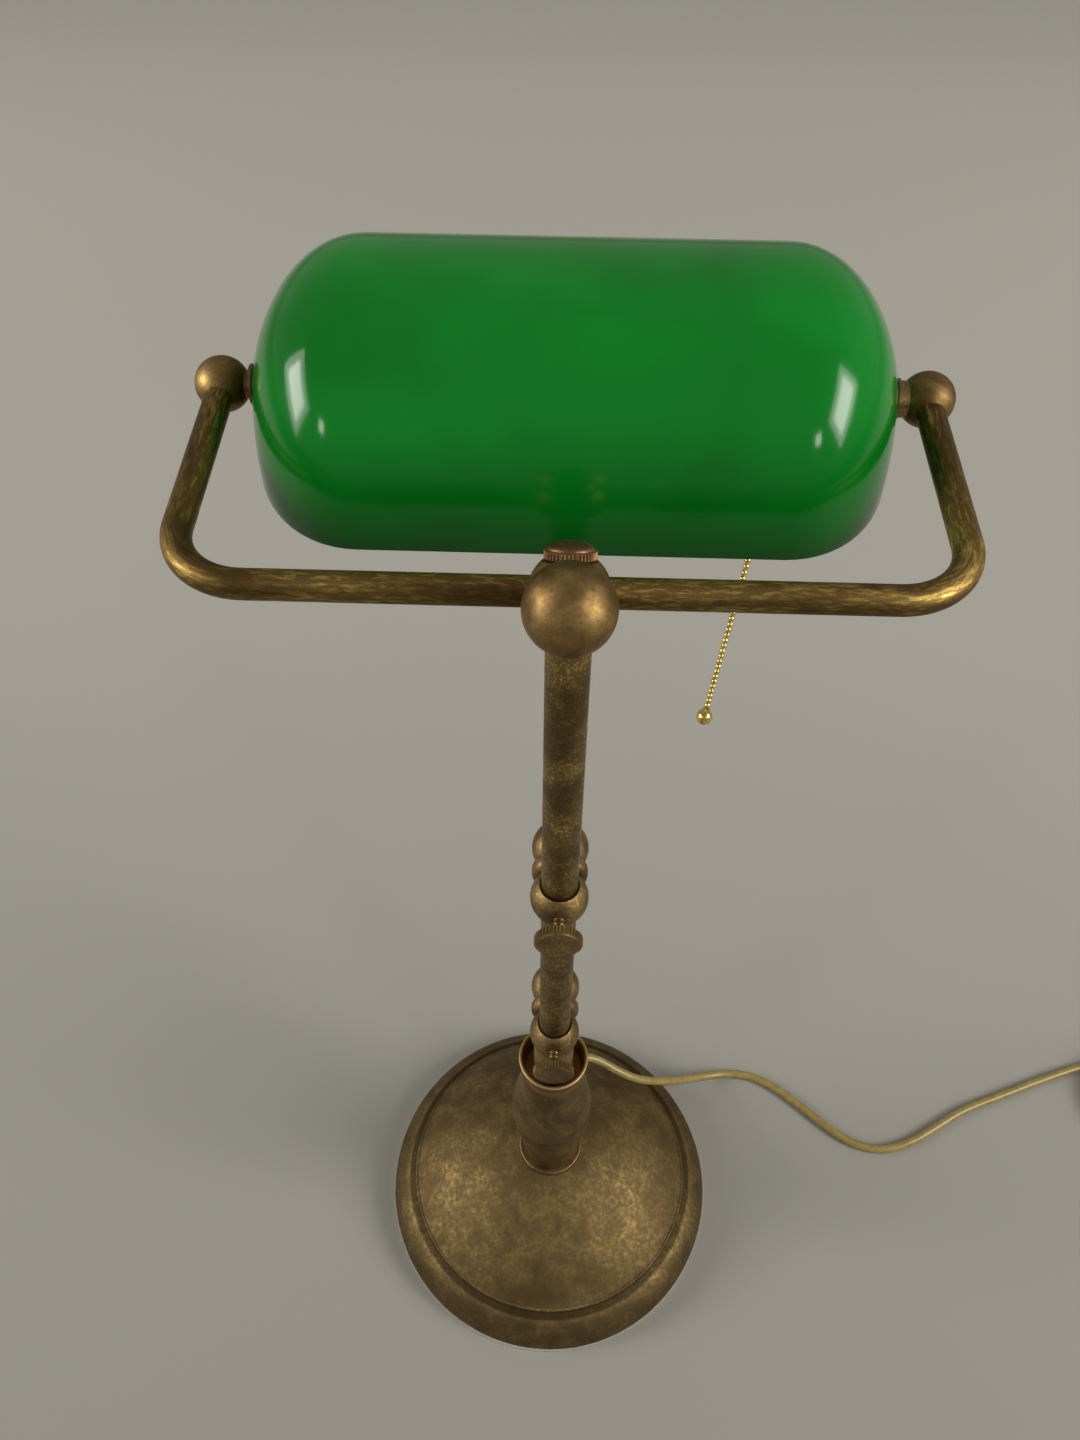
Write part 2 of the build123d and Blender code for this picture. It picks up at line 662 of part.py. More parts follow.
# ---- Assembly ----
os.makedirs("parts", exist_ok=True)
fittings, holder_start = side_fittings()
holder, core_face, screw_bore, outlet = holder_parts(holder_start)
nodes = {
    **base_parts(),
    "column": column_part(),
    "cord_bush": bush_part(),
    "collar": tube(collar_radius, collar_bore, (0, 0, column_top - collar_seat), (0, 0, collar_top)),
    "lower_clamp": clamp_part(lower_clamp_z, True),
    "upper_clamp": clamp_part(upper_clamp_z, False),
    "guide_rod": rod(guide_radius, (0, rod_spacing, lower_clamp_z - clamp_ball - guide_overrun),
                     (0, rod_spacing, upper_clamp_z + clamp_ball + guide_overrun)),
    "lower_thumbscrew": thumbscrew_part(lower_clamp_z),
    "upper_thumbscrew": thumbscrew_part(upper_clamp_z),
    **stem_parts(),
    "head_screw": head_screw_part(),
    "yoke_tube": yoke_part(),
    "left_side_ball": side_ball_part(-1),
    "right_side_ball": side_ball_part(1),
    **fittings,
    "shade_glass": shade_part(),
    **holder,
    **bulb_parts(core_face, screw_bore),
    **pull_parts(outlet),
    **cord_parts(),
}
for name, solid in nodes.items():
    export_step(solid, f"parts/{name}.step")
print("nodes", len(nodes))
print("pivot", round(pivot_y, 2), round(pivot_z, 2), "bar", round(bar_y, 2), round(bar_z, 2))
print("clamps", round(lower_clamp_z, 2), round(upper_clamp_z, 2), "head", round(head_z, 2))
print("outlet", [round(value, 2) for value in outlet])
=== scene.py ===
import bmesh
import bpy
import math
from mathutils import Matrix, Vector


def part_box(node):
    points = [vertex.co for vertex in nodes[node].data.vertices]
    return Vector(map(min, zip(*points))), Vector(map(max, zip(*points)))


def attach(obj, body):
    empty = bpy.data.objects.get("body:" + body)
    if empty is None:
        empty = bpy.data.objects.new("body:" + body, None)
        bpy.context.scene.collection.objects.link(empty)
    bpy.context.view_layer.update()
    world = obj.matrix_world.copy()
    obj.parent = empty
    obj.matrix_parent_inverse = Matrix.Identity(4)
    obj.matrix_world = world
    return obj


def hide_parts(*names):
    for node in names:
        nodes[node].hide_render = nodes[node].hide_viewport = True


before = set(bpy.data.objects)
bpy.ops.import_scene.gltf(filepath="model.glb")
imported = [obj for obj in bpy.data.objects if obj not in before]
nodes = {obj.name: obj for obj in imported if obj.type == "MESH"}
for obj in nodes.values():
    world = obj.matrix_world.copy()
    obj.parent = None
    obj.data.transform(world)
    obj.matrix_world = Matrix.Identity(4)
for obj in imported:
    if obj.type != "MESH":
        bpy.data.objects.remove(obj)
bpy.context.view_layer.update()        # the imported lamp: bodies, nodes, joints, record
mm = 0.001
print("frame loaded:", len(nodes), "nodes")


# ---- small tools ----
def inMetres(*values):
    return Vector(values) * mm


def addNode(tree, kind, inputs=None, **settings):
    node = tree.nodes.new(kind)
    for key, value in settings.items():
        setattr(node, key, value)
    for key, value in (inputs or {}).items():
        if isinstance(value, bpy.types.NodeSocket):
            tree.links.new(value, node.inputs[key])
        else:
            node.inputs[key].default_value = value
    return node


def linkNewObject(name, data):
    thing = bpy.data.objects.new(name, data)
    bpy.context.scene.collection.objects.link(thing)
    return thing


def meshFrom(name, points, faces, materials, recalculate=False):
    mesh = bpy.data.meshes.new(name)
    mesh.from_pydata(points, [], faces)
    shape = bmesh.new()
    shape.from_mesh(mesh)
    bmesh.ops.remove_doubles(shape, verts=shape.verts, dist=1e-6)
    if recalculate:
        bmesh.ops.recalc_face_normals(shape, faces=shape.faces)
    shape.to_mesh(mesh)
    shape.free()
    mesh.shade_smooth()
    for material in materials:
        mesh.materials.append(material)
    return linkNewObject(name, mesh)


def newTree(name, sockets):
    # A Geometry Nodes group with named inputs. Gives the tree, its input node and the sockets' identifiers.
    tree = bpy.data.node_groups.new(name, "GeometryNodeTree")
    identifiers = {}
    for label, kind in sockets.items():
        socket = tree.interface.new_socket(name=label, in_out="INPUT", socket_type="NodeSocket" + kind)
        identifiers[label] = socket.identifier
    tree.interface.new_socket(name="Geometry", in_out="OUTPUT", socket_type="NodeSocketGeometry")
    return tree, tree.nodes.new("NodeGroupInput"), identifiers


def closeTree(tree, geometry, material, smooth=True):
    whole = addNode(tree, "GeometryNodeRealizeInstances", {0: geometry})
    shaded = addNode(tree, "GeometryNodeSetShadeSmooth", {0: whole.outputs[0], "Shade Smooth": smooth})
    coloured = addNode(tree, "GeometryNodeSetMaterial", {0: shaded.outputs[0], "Material": material})
    output = tree.nodes.new("NodeGroupOutput")
    tree.links.new(coloured.outputs[0], output.inputs[0])


def pieceFromTree(name, tree, identifiers, values):
    # Runs a tree on an empty mesh and keeps the result as a plain mesh.
    piece = linkNewObject(name, bpy.data.meshes.new(name + "Start"))
    modifier = piece.modifiers.new("Shape", "NODES")
    modifier.node_group = tree
    for label, value in values.items():
        modifier[identifiers[label]] = value
    shown = piece.evaluated_get(bpy.context.evaluated_depsgraph_get())
    plain = bpy.data.meshes.new_from_object(shown)
    plain.name = name
    piece.modifiers.clear()
    piece.data = plain
    return piece


def joinMeshes(tree, *outputs):
    join = tree.nodes.new("GeometryNodeJoinGeometry")
    for output in reversed(outputs):
        tree.links.new(output, join.inputs[0])
    return join.outputs[0]


# ---- camera and light ----
cameraView = {
    "place": (-3.11, -236.66, 689.5),     # mm
    "down": 49.14,
    "turn": -1.22,
    "roll": 0.60,
    "lens": 28.59,
}


def placeCamera():
    down, turn, roll = (math.radians(cameraView[key]) for key in ("down", "turn", "roll"))
    ahead = Vector((math.sin(turn) * math.cos(down), math.cos(turn) * math.cos(down), -math.sin(down)))
    level = Vector((math.cos(turn), -math.sin(turn), 0))
    over = level.cross(ahead)
    right = level * math.cos(roll) + over * math.sin(roll)
    up = over * math.cos(roll) - level * math.sin(roll)
    data = bpy.data.cameras.new("camera")
    data.lens = cameraView["lens"]
    data.sensor_width = 36
    data.clip_start = 0.01
    camera = linkNewObject("camera", data)
    place = Matrix((right, up, -ahead)).transposed().to_4x4()
    place.translation = inMetres(*cameraView["place"])
    camera.matrix_world = place
    bpy.context.scene.camera = camera


softLights = [
    # name, where it stands, where it points, width, height, roll, power, tint
    ("rightSpread", (2.30, -0.72, 1.70), (0.09, 0.07, 0.49), 1.65, 1.25, 24, 33.0, (1.0, 0.975, 0.925)),
    ("rightCore", (2.26, -0.70, 1.67), (0.09, 0.07, 0.49), 1.20, 0.75, 24, 28.0, (1.0, 0.975, 0.925)),
    ("leftSpread", (-2.47, -0.20, 1.30), (-0.09, 0.07, 0.49), 1.50, 1.20, -24, 24.0, (1.0, 0.975, 0.93)),
    ("leftCore", (-2.43, -0.20, 1.28), (-0.09, 0.07, 0.49), 1.05, 0.70, -24, 22.0, (1.0, 0.975, 0.93)),
    ("rightLow", (0.94, -1.32, 1.24), (0.08, 0.06, 0.48), 0.20, 0.20, 0, 1.6, (1.0, 0.98, 0.94)),
    ("leftLow", (-1.22, -1.16, 1.16), (-0.08, 0.06, 0.48), 0.20, 0.20, 0, 1.6, (1.0, 0.98, 0.94)),
]


def placeLights():
    for name, stand, aim, width, height, roll, power, tint in softLights:
        data = bpy.data.lights.new(name, "AREA")
        data.shape = "RECTANGLE"
        data.size, data.size_y = width, height
        data.energy = power
        data.color = tint
        light = linkNewObject(name, data)
        light.location = stand
        facing = (Vector(aim) - Vector(stand)).to_track_quat("-Z", "Y").to_matrix()
        light.rotation_euler = (facing @ Matrix.Rotation(math.radians(roll), 3, "Z")).to_euler()
    world = bpy.data.worlds.new("studio")
    bpy.context.scene.world = world
    world.use_nodes = True
    backdrop = world.node_tree.nodes["Background"]
    backdrop.inputs["Color"].default_value = (0.262, 0.256, 0.236, 1)
    bpy.context.scene.view_settings.view_transform = "Standard"


def floorMaterial():
    material = bpy.data.materials.new("paleFloor")
    material.use_nodes = True
    tree = material.node_tree
    shader = tree.nodes["Principled BSDF"]
    place = addNode(tree, "ShaderNodeTexCoord")
    cloud = addNode(tree, "ShaderNodeTexNoise",
                    {"Vector": place.outputs["Object"], "Scale": 2.2, "Detail": 3.0})
    # painted light: the floor's tone rises away from the lamp along Y, a painted falloff of light instead of
    # an evenly lit floor; the noise adds small random tone
    away = addNode(tree, "ShaderNodeSeparateXYZ", {0: place.outputs["Object"]})
    shift = addNode(tree, "ShaderNodeMath", {0: cloud.outputs[0], 1: 0.06, 2: away.outputs["Y"]},
                    operation="MULTIPLY_ADD")
    share = addNode(tree, "ShaderNodeMapRange",
                    {"Value": shift.outputs[0], "From Min": -0.2, "From Max": 1.6})
    paintedLightRamp = addNode(tree, "ShaderNodeValToRGB", {0: share.outputs[0]})
    paintedLightStops = paintedLightRamp.color_ramp.elements
    paintedLightStops[0].color = (0.272, 0.264, 0.236, 1)
    paintedLightStops[1].color = (0.540, 0.525, 0.470, 1)
    for spot, tone in ((0.17, (0.316, 0.307, 0.275, 1)), (0.39, (0.400, 0.389, 0.350, 1))):
        paintedLightStops.new(spot).color = tone
    tree.links.new(paintedLightRamp.outputs[0], shader.inputs["Base Color"])
    shader.inputs["Roughness"].default_value = 0.75
    return material


def makeFloor():
    reach = 30.0
    corners = [(-reach, -reach, 0), (reach, -reach, 0), (reach, reach, 0), (-reach, reach, 0)]
    floor = meshFrom("floor", corners, [(0, 1, 2, 3)], [floorMaterial()])


placeCamera()
placeLights()
makeFloor()
print("camera, lights and floor placed")


# ---- finishes ----
def startMaterial(name):
    material = bpy.data.materials.new(name)
    material.use_nodes = True
    return material, material.node_tree, material.node_tree.nodes["Principled BSDF"]


def placeNode(tree, stretch=(1, 1, 1), turn=(0, 0, 0)):
    spot = addNode(tree, "ShaderNodeTexCoord")
    return addNode(tree, "ShaderNodeMapping", {"Vector": spot.outputs["Object"], "Scale": stretch,
                                               "Rotation": turn}).outputs[0]


def noiseValue(tree, place, scale, detail=3.0, rough=0.55, warp=0.0, along=None):
    node = addNode(tree, "ShaderNodeTexNoise", {"Vector": place, "Scale": scale, "Detail": detail,
                                                "Roughness": rough, "Distortion": warp},
                   noise_dimensions="3D" if along is None else "4D")
    if along is not None:
        tree.links.new(along, node.inputs["W"])
    return node.outputs[0]


def between(tree, value, low, high, start=0.0, end=1.0):
    return addNode(tree, "ShaderNodeMapRange", {"Value": value, "From Min": low, "From Max": high,
                                                "To Min": start, "To Max": end}).outputs[0]


def mixColours(tree, factor, first, second):
    node = addNode(tree, "ShaderNodeMix", data_type="RGBA")
    for index, value in ((0, factor), (6, first), (7, second)):
        if isinstance(value, bpy.types.NodeSocket):
            tree.links.new(value, node.inputs[index])
        else:
            node.inputs[index].default_value = value if index == 0 else (*value, 1)
    return node.outputs[2]


def addBump(tree, shader, height, strength, distance):
    bump = addNode(tree, "ShaderNodeBump", {"Height": height, "Strength": strength, "Distance": distance})
    tree.links.new(bump.outputs[0], shader.inputs["Normal"])


agedBrass = {
    "patina": (0.105, 0.062, 0.024),
    "middle": (0.235, 0.150, 0.062),
    "worn": (0.72, 0.51, 0.13),
    "cloudScale": 80.0,
    "mottleScale": 950.0,
    "wornFrom": 0.51,
    "wornTo": 0.66,
    "wornAmount": 0.60,
    "rough": (0.24, 0.42),
    "bump": 0.16,
    "dark": [],               # darker rings: measured by radius or height, from, full, fading, to, how much
    "cup": False,             # a coppery lip and inside at the top of the column
}


def bandMask(tree, measure, start, full, fade, end):
    # One between full and fade, falling to nothing at start and end. Distances are from the column's axis or
    # from the desk.
    spot = addNode(tree, "ShaderNodeTexCoord").outputs["Object"]
    if measure == "height":
        value = addNode(tree, "ShaderNodeSeparateXYZ", {0: spot}).outputs["Z"]
    else:
        flat = addNode(tree, "ShaderNodeVectorMath", {0: spot, 1: (1, 1, 0)}, operation="MULTIPLY")
        value = addNode(tree, "ShaderNodeVectorMath", {0: flat.outputs[0]},
                        operation="LENGTH").outputs["Value"]
    rising = between(tree, value, start, full)
    falling = between(tree, value, fade, end, 1.0, 0.0)
    return addNode(tree, "ShaderNodeMath", {0: rising, 1: falling}, operation="MULTIPLY").outputs[0]


# Where the column's open cup is darker inside and paler along its lip, in metres: start, full, fade, end.
cupBands = {
    "height": (0.1575, 0.1585, 0.1690, 0.1696),
    "radius": (-0.01, 0.0, 0.0152, 0.0156),
    "lip": (0.1682, 0.1690, 0.18, 0.19),
    "insideColour": (0.31, 0.178, 0.075),
    "lipColour": (0.44, 0.290, 0.130),
}


def brassFinish(name, stretch=(1, 1, 1), alongTube=False, **changes):
    look = {**agedBrass, **changes}
    material, tree, shader = startMaterial(name)
    along = None
    if alongTube:
        offset = addNode(tree, "ShaderNodeAttribute", attribute_name="tubeOffset")
        place = offset.outputs["Vector"]
        length = addNode(tree, "ShaderNodeAttribute", attribute_name="tubeLength")
        along = addNode(tree, "ShaderNodeMath", {0: length.outputs["Fac"], 1: look["tubeStreak"]},
                        operation="MULTIPLY").outputs[0]
    else:
        place = placeNode(tree, stretch)
    clouds = noiseValue(tree, place, look["cloudScale"], 3.0, 0.6, 0.4, along)
    mottles = noiseValue(tree, place, look["mottleScale"], 4.0, 0.60, 0.15, along)
    grain = noiseValue(tree, place, look["mottleScale"] * 4, 3.0, 0.7, 0.0, along)
    ground = mixColours(tree, between(tree, clouds, 0.36, 0.66), look["patina"], look["middle"])
    wear = addNode(tree, "ShaderNodeMath", {0: between(tree, mottles, look["wornFrom"], look["wornTo"]),
                                            1: between(tree, clouds, 0.40, 0.62, 0.12, 1.0)},
                   operation="MULTIPLY")
    wear = addNode(tree, "ShaderNodeMath", {0: wear.outputs[0], 1: look["wornAmount"]}, operation="MULTIPLY")
    colour = mixColours(tree, wear.outputs[0], ground, look["worn"])
    speck = between(tree, grain, 0.30, 0.44, 0.55, 0.0)
    colour = mixColours(tree, speck, colour, tuple(c * 0.45 for c in look["patina"]))
    for measure, start, full, fade, end, amount in look["dark"]:
        mask = bandMask(tree, measure, start, full, fade, end)
        share = addNode(tree, "ShaderNodeMath", {0: mask, 1: amount}, operation="MULTIPLY")
        colour = mixColours(tree, share.outputs[0], colour, tuple(c * 0.3 for c in look["patina"]))
    if look["cup"]:
        inside = addNode(tree, "ShaderNodeMath", {0: bandMask(tree, "height", *cupBands["height"]),
                                                  1: bandMask(tree, "radius", *cupBands["radius"])},
                         operation="MULTIPLY")
        colour = mixColours(tree, inside.outputs[0], colour, cupBands["insideColour"])
        lip = bandMask(tree, "height", *cupBands["lip"])
        colour = mixColours(tree, lip, colour, cupBands["lipColour"])
    tree.links.new(colour, shader.inputs["Base Color"])
    shader.inputs["Metallic"].default_value = 1.0
    low, high = look["rough"]
    tree.links.new(between(tree, mottles, 0.35, 0.70, high, low), shader.inputs["Roughness"])
    addBump(tree, shader, grain, look["bump"], 0.0002)
    return material


def brightBrassFinish():
    material, tree, shader = startMaterial("polishedBrass")
    place = placeNode(tree)
    clouds = noiseValue(tree, place, 420.0, 3.0)
    tree.links.new(mixColours(tree, between(tree, clouds, 0.35, 0.68), (0.78, 0.55, 0.13),
                              (0.92, 0.73, 0.28)), shader.inputs["Base Color"])
    shader.inputs["Metallic"].default_value = 1.0
    tree.links.new(between(tree, clouds, 0.3, 0.7, 0.12, 0.26), shader.inputs["Roughness"])
    addBump(tree, shader, noiseValue(tree, place, 1500.0), 0.05, 0.0001)
    return material


glassLook = {
    "deep": (0.0001, 0.150, 0.009),
    "clear": (0.0002, 0.210, 0.016),
    # painted shade: the green darkens towards the lip, standing in for the lower wall getting less light
    "shadedNearLip": (0.0001, 0.070, 0.004),
    "inner": (0.80, 0.82, 0.76),
    "lip": (0.22, 0.50, 0.30),
    "lipShadeBand": (0.40, 0.41, 0.4375, 0.480),   # heights in metres: start, full, fade, end
    "waviness": 0.035,
}


def greenGlassFinish():
    material, tree, shader = startMaterial("emeraldGlass")
    place = placeNode(tree)
    drift = noiseValue(tree, place, 14.0, 2.0, 0.5, 0.6)
    ribbons = noiseValue(tree, placeNode(tree, (1, 6, 6)), 16.0, 3.0, 0.55, 0.3)
    tone = mixColours(tree, between(tree, drift, 0.33, 0.68), glassLook["deep"], glassLook["clear"])
    tone = mixColours(tree, between(tree, ribbons, 0.50, 0.80, 0.0, 0.28), tone, glassLook["deep"])
    # painted shade: darker green towards the lip, by height in the shade's own coordinates
    lipShadeMask = bandMask(tree, "height", *glassLook["lipShadeBand"])
    tone = mixColours(tree, lipShadeMask, tone, glassLook["shadedNearLip"])
    tree.links.new(tone, shader.inputs["Base Color"])
    tree.links.new(between(tree, drift, 0.3, 0.7, 0.10, 0.14), shader.inputs["Roughness"])
    shader.inputs["IOR"].default_value = 1.50
    shader.inputs["Specular IOR Level"].default_value = 0.34
    addBump(tree, shader, drift, glassLook["waviness"], 0.004)
    return material


def opalGlassFinish():
    material, tree, shader = startMaterial("opalGlass")
    place = placeNode(tree)
    cloud = noiseValue(tree, place, 28.0, 4.0, 0.6, 0.4)
    tree.links.new(mixColours(tree, between(tree, cloud, 0.35, 0.7), glassLook["inner"], (0.88, 0.88, 0.83)),
                   shader.inputs["Base Color"])
    tree.links.new(between(tree, cloud, 0.3, 0.7, 0.10, 0.20), shader.inputs["Roughness"])
    shader.inputs["Subsurface Weight"].default_value = 0.15
    shader.inputs["Subsurface Radius"].default_value = (0.003, 0.004, 0.003)
    addBump(tree, shader, cloud, 0.04, 0.003)
    return material


def plainFinish(name, first, second, scale, rough, metallic=0.0, bump=0.15, depth=0.0002, stretch=(1, 1, 1)):
    # Two close tones in a fine noise, for the small and the hidden pieces.
    material, tree, shader = startMaterial(name)
    place = placeNode(tree, stretch)
    cloud = noiseValue(tree, place, scale, 4.0, 0.6, 0.3)
    tree.links.new(mixColours(tree, between(tree, cloud, 0.33, 0.68), first, second),
                   shader.inputs["Base Color"])
    tree.links.new(between(tree, cloud, 0.3, 0.7, *rough), shader.inputs["Roughness"])
    shader.inputs["Metallic"].default_value = metallic
    addBump(tree, shader, noiseValue(tree, place, scale * 3, 4.0, 0.65), bump, depth)
    return material


# the base is darker in a ring between dome and rim, and darker towards the desk
baseBrass = brassFinish("baseBrass", mottleScale=420.0, wornFrom=0.42, wornTo=0.78, wornAmount=0.24,
                        rough=(0.56, 0.68), patina=(0.130, 0.088, 0.039), middle=(0.178, 0.123, 0.055),
                        dark=[("radius", 0.0758, 0.0770, 0.0796, 0.0808, 0.80),
                              ("height", -0.01, 0.0, 0.0185, 0.0200, 0.25)])
columnBrass = brassFinish("columnBrass", wornAmount=0.26, rough=(0.44, 0.58), patina=(0.132, 0.089, 0.040),
                          middle=(0.225, 0.155, 0.070), cup=True)
stemBrass = brassFinish("stemBrass", wornAmount=0.80, rough=(0.40, 0.56), patina=(0.115, 0.076, 0.030),
                        middle=(0.225, 0.150, 0.058))
ballBrass = brassFinish("ballBrass", mottleScale=260.0, wornFrom=0.40, wornTo=0.80, wornAmount=0.26,
                        rough=(0.47, 0.58), patina=(0.150, 0.088, 0.034), middle=(0.290, 0.185, 0.073))
clampBrass = brassFinish("clampBrass", mottleScale=800.0, wornAmount=0.50, rough=(0.40, 0.52), bump=0.55,
                         patina=(0.135, 0.084, 0.036), middle=(0.285, 0.190, 0.085))
screwBrass = brassFinish("screwBrass", patina=(0.140, 0.090, 0.038), middle=(0.270, 0.180, 0.078),
                         rough=(0.36, 0.50), wornAmount=0.45)
copperBrass = brassFinish("copperBrass", patina=(0.130, 0.068, 0.033), middle=(0.260, 0.148, 0.075),
                          rough=(0.46, 0.58), wornAmount=0.25)
yokeBrass = brassFinish("yokeBrass", alongTube=True, tubeStreak=0.20, wornAmount=0.90, rough=(0.40, 0.56),
                        wornFrom=0.48, patina=(0.090, 0.054, 0.018), middle=(0.255, 0.160, 0.050))
polishedBrass = brightBrassFinish()
emeraldGlass = greenGlassFinish()
opalGlass = opalGlassFinish()
lipGlass = plainFinish("glassLip", (0.10, 0.36, 0.17), glassLook["lip"], 60.0, (0.08, 0.16), bump=0.03)
goldSheath = plainFinish("goldSheath", (0.25, 0.180, 0.045), (0.34, 0.250, 0.078), 240.0, (0.24, 0.36),
                         bump=0.2)
feltPad = plainFinish("feltPad", (0.38, 0.365, 0.30), (0.50, 0.48, 0.41), 700.0, (0.85, 0.95), bump=0.9,
                      depth=0.0006)
castIron = plainFinish("castIron", (0.030, 0.029, 0.028), (0.060, 0.057, 0.054), 300.0, (0.55, 0.75),
                       bump=0.7, depth=0.0006)
bareSteel = plainFinish("bareSteel", (0.42, 0.42, 0.41), (0.58, 0.57, 0.55), 380.0, (0.25, 0.42), 1.0, 0.1)
lampMetal = plainFinish("lampMetal", (0.70, 0.70, 0.68), (0.84, 0.83, 0.81), 420.0, (0.22, 0.34), 1.0, 0.08)
whitePorcelain = plainFinish("whitePorcelain", (0.74, 0.72, 0.67), (0.83, 0.81, 0.77), 180.0, (0.12, 0.22))
frostedBulb = plainFinish("frostedBulb", (0.84, 0.84, 0.80), (0.92, 0.91, 0.88), 120.0, (0.30, 0.40),
                          bump=0.05)
blackRubber = plainFinish("blackRubber", (0.016, 0.016, 0.017), (0.030, 0.030, 0.031), 600.0, (0.60, 0.75),
                          bump=0.4)
brownPlastic = plainFinish("brownPlastic", (0.26, 0.185, 0.060), (0.34, 0.25, 0.09), 500.0, (0.34, 0.46),
                           bump=0.2)

nodeFinishes = [
    (baseBrass, "base_shell"),
    (columnBrass, "column", "collar"),
    (ballBrass, "stem_head", "left_side_ball", "right_side_ball"),
    (clampBrass, "lower_clamp", "upper_clamp"),
    (stemBrass, "stem_tube", "guide_rod", "stem_stop_ring"),
    (screwBrass, "side_flanges", "neck_collars", "lampholder_cap", "lampholder_shell", "switch_outlet"),
    (columnBrass, "left_nipple", "right_nipple", "shade_nuts"),
    (polishedBrass, "pull_link", "chain_ball"),
    (lampMetal, "screw_shell", "contact_stud", "bulb_cap", "plug_pins"),
    (bareSteel, "base_nut", "base_washer", "centre_tube"),
    (castIron, "ballast_weight"),
    (whitePorcelain, "lampholder_core"),
    (frostedBulb, "bulb_glass"),
    (blackRubber, "shade_washers", "cord_bush"),
    (feltPad, "desk_pad"),
    (brownPlastic, "mains_plug"),
]
for finish, *names in nodeFinishes:
    for nodeName in names:
        for slot in nodes[nodeName].material_slots:
            slot.material = finish
print("finishes made")


# ---- mains cord, coil and what is on it ----
mainsCord = {
    "length": 1.8,
    "diameter": 4.8,
    "bushTop": 79.0,          # height where the bush's line meets the column's axis
    "bushDrop": 20.0,         # degrees
    "inBush": 26.0,
    "mouth": 32.0,
    "outOfBush": 38.0,
    "route": [
        (5, 45.1, 61.8), (14.3, 51.9, 57), (25.8, 53.5, 51.5),
        (36.8, 50, 45), (48.5, 48, 37.5), (60.5, 50, 29.6),
        (72.5, 54.5, 20.8), (84.5, 60, 12.2), (97, 65, 5.8), (110.5, 68.6, 2.8), (124.5, 67.5, 2.4),
        (138, 61, 2.4), (152, 50.5, 2.4), (166.5, 37.5, 2.4),
        (181, 27, 2.4), (198, 22.8, 2.4), (216, 27.6, 2.4),
        (234, 38, 2.4), (252.5, 49.4, 2.4), (277, 58.8, 2.4),
        (304, 69.6, 2.4), (330, 79, 2.4), (350, 84.8, 2.6),
    ],
    "tail": [(407, 50, 3.2), (407.4, 38, 4.0), (405.4, 26, 5.6), (403.2, 14, 6.85), (402.7, 10, 6.85)],
}
coil = {
    "centre": (372.0, 56.0),
    "radius": 28.0,
    "pointsPerTurn": 24,
    "stepOver": 45.0,         # degrees taken to move to the next place in the bundle
    # places of the turns in the bundle: outwards from the middle radius, and height
    "bundle": [(2.4, 3.2), (-2.4, 3.2), (-4.8, 7.4), (0.0, 7.4), (-2.4, 11.6), (2.4, 11.6), (4.8, 7.4),
               (7.2, 3.2)],
}


def bushPoint(distance):
    drop = math.radians(mainsCord["bushDrop"])
    return (0, distance * math.cos(drop), mainsCord["bushTop"] - distance * math.sin(drop))


def coilPoints():
    # Clockwise seen from above, from the far side round to the side where the tail leaves.
    points = []
    turns = len(coil["bundle"]) - 1
    steps = coil["pointsPerTurn"] * turns + coil["pointsPerTurn"] // 4
    for step in range(steps):
        turned = 360.0 * step / coil["pointsPerTurn"]
        index = min(int(turned / 360.0), turns)
        out, height = coil["bundle"][index]
        if index > 0:
            share = min((turned - 360.0 * index) / coil["stepOver"], 1.0)
            share = share * share * (3 - 2 * share)
            lastOut, lastHeight = coil["bundle"][index - 1]
            out = lastOut + (out - lastOut) * share
            height = lastHeight + (height - lastHeight) * share
        angle = math.radians(90.0 - turned)
        reach = coil["radius"] + out
        points.append((coil["centre"][0] + reach * math.cos(angle),
                       coil["centre"][1] + reach * math.sin(angle),
                       height))
    return points


def makeCord():
    start = [bushPoint(mainsCord["inBush"]), bushPoint(mainsCord["outOfBush"])]
    points = start + mainsCord["route"] + coilPoints() + mainsCord["tail"]
    curve = bpy.data.curves.new("mainsCord", "CURVE")
    curve.dimensions = "3D"
    curve.bevel_depth = mainsCord["diameter"] * mm / 2
    curve.bevel_resolution = 5
    curve.resolution_u = 5
    curve.use_fill_caps = True
    spline = curve.splines.new("NURBS")
    spline.points.add(len(points) - 1)
    for point, spot in zip(spline.points, points):
        point.co = (*inMetres(*spot), 1)
    spline.order_u = 3
    spline.use_endpoint_u = True
    curve.materials.append(goldSheath)
    return linkNewObject("mainsCord", curve)


sleeve = {"start": (403.2, 14.0, 6.85), "way": (-0.12, -1, 0), "length": 24.0, "tip": 3.3, "root": 5.2,
          "ribs": 9}


